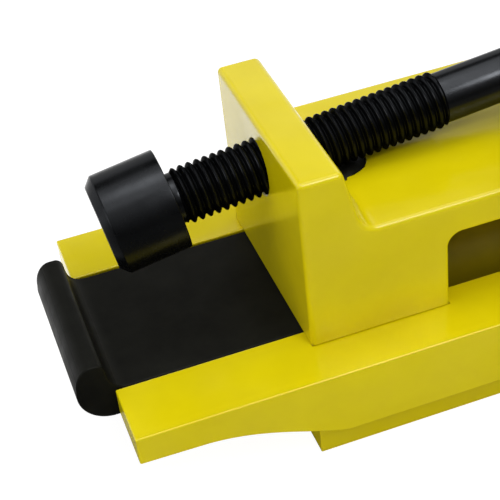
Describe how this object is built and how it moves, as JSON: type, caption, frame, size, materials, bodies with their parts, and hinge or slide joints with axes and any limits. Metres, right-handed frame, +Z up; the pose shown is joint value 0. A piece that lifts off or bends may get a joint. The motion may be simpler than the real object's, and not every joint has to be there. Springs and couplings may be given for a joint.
{
  "type": "hydraulic bead breaker",
  "caption": "Two tapered rails with a ram-driven nose plate between them, and a tilted clamp screw with a swivel pad set in a bridge over the top.",
  "frame": {"origin": "centre of the underside of the tool's bounding box, on the base plate's bottom face", "axes": "+X towards the hose coupling, with the nose and the clamp pad at -X; +Y across the rails to the right of a user behind the tool; +Z up"},
  "size_m": [0.4154, 0.1372, 0.1906],
  "materials": {
    "yellow_paint": "smooth glossy yellow enamel on steel",
    "black_oxide": "black oxide, oiled, on machined steel",
    "bright_steel": "ground and plated steel",
    "bronze": "turned bearing bronze",
    "rubber": "moulded black rubber"
  },
  "bodies": {
    "frame": {"left_rail": "yellow_paint", "right_rail": "yellow_paint", "base_plate": "yellow_paint", "left_guide_bar": "bright_steel", "right_guide_bar": "bright_steel", "rear_block": "yellow_paint", "screw_bridge": "yellow_paint", "screw_nut": "black_oxide", "nut_grub_screw": "black_oxide", "bridge_screw_left_front": "black_oxide", "bridge_screw_left_middle": "black_oxide", "bridge_screw_left_rear": "black_oxide", "bridge_screw_right_front": "black_oxide", "bridge_screw_right_middle": "black_oxide", "bridge_screw_right_rear": "black_oxide", "base_screw_left_front": "black_oxide", "base_screw_left_rear": "black_oxide", "base_screw_right_front": "black_oxide", "base_screw_right_rear": "black_oxide", "block_screw_left_1": "black_oxide", "block_screw_left_2": "black_oxide", "block_screw_right_1": "black_oxide", "block_screw_right_2": "black_oxide", "cap_screw_left": "black_oxide", "cap_screw_right": "black_oxide", "cylinder_barrel": "yellow_paint", "gland_nut": "black_oxide", "rod_wiper": "rubber", "rod_seal": "rubber", "cylinder_base_cap": "black_oxide", "base_cap_seal": "rubber", "port_nipple": "bright_steel", "coupler_body": "bright_steel", "return_spring": "bright_steel", "carry_handle": "black_oxide", "handle_grip": "rubber", "handle_nut_left": "bright_steel", "handle_nut_right": "bright_steel"},
    "pusher": {"push_plate": "black_oxide", "rod_pin": "bright_steel", "piston_rod": "bright_steel", "piston": "bright_steel", "piston_seal": "rubber", "piston_wear_ring": "bronze", "piston_nut": "bright_steel"},
    "screw_thrust": {"thrust_cup": "bronze"},
    "screw": {"clamp_screw": "black_oxide"},
    "pad": {"swivel_pad": "black_oxide", "pad_retainer": "bright_steel", "pad_circlip": "bright_steel"},
    "collar": {"coupler_collar": "bright_steel"},
    "cap": {"dust_cap": "rubber"}
  },
  "joints": [
    {"name": "push_slide", "type": "slide", "parent": "frame", "child": "pusher", "axis": [-1, 0, 0], "range_m": [0, 0.07], "stiffness_N_per_m": 900, "springref_m": -0.03, "deforming": ["return_spring"]},
    {"name": "screw_feed", "type": "slide", "parent": "frame", "child": "screw_thrust", "axis": [-0.9945, 0, -0.1049], "range_m": [-0.034, 0.05]},
    {"name": "screw_turn", "type": "hinge", "parent": "screw_thrust", "child": "screw", "pos_m": [-0.1163, 0, 0.10397], "axis": [-0.9945, 0, -0.1049], "range_deg": [-3500, 5146]},
    {"name": "pad_tilt", "type": "hinge", "parent": "screw_thrust", "child": "pad", "pos_m": [-0.16205, 0, 0.09915], "axis": [0, -1, 0], "range_deg": [-10.4, 3.6]},
    {"name": "collar_spin", "type": "hinge", "parent": "frame", "child": "collar", "pos_m": [0.1602, 0, 0.0325], "axis": [1, 0, 0], "continuous": true},
    {"name": "cap_pull", "type": "slide", "parent": "frame", "child": "cap", "axis": [1, 0, 0], "range_m": [0, 0.03]}
  ],
  "couplings": [
    {"joint": "screw_turn", "follows": "screw_feed", "rad_per_m": 1795.2}
  ]
}
